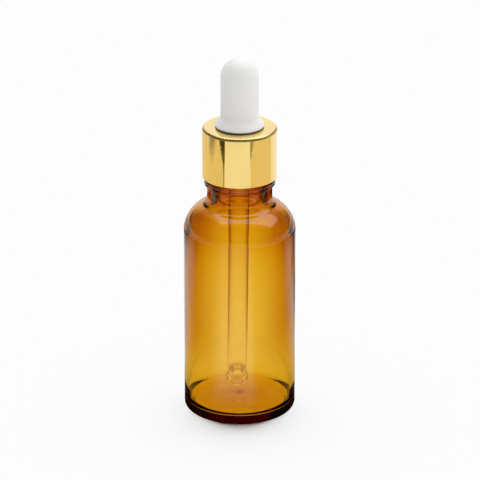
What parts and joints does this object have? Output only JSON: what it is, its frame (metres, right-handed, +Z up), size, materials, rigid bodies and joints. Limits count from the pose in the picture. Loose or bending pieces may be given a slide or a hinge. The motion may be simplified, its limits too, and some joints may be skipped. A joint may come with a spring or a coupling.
{
  "type": "dropper bottle",
  "caption": "Amber glass dropper bottle with a screw collar, a squeezable teat and a ball-tipped glass pipette that lifts out of the neck.",
  "frame": {"origin": "centre of the flat ring that the bottle stands on", "axes": "+Z up along the bottle's axis to the top of the teat, +Y away from the viewer, +X to the viewer's right"},
  "size_m": [0.033, 0.033, 0.1097],
  "materials": {
    "amber_glass": "blow-moulded amber soda-lime glass, fire-polished and clear",
    "gold_aluminium": "drawn aluminium, polished and anodised gold",
    "black_plastic": "moulded black polypropylene",
    "white_silicone": "moulded white silicone rubber, matt and slightly dusty to the touch",
    "clear_glass": "drawn clear borosilicate tube, flame-worked ball tip"
  },
  "bodies": {
    "bottle": {"glass_bottle": "amber_glass"},
    "dropper": {"dropper_teat": "white_silicone", "glass_pipette": "clear_glass"},
    "collar": {"collar_shell": "gold_aluminium", "collar_liner": "black_plastic"}
  },
  "joints": [
    {"name": "dropper_lift", "type": "slide", "parent": "bottle", "child": "dropper", "axis": [0, 0, 1], "range_m": [0, 0.084]},
    {"name": "collar_turn", "type": "hinge", "parent": "dropper", "child": "collar", "pos_m": [0, 0, 0.0734], "axis": [0, 0, 1], "range_deg": [0, 10080]}
  ],
  "couplings": [
    {"joint": "dropper_lift", "follows": "collar_turn", "m_per_rad": 0.00047746}
  ]
}
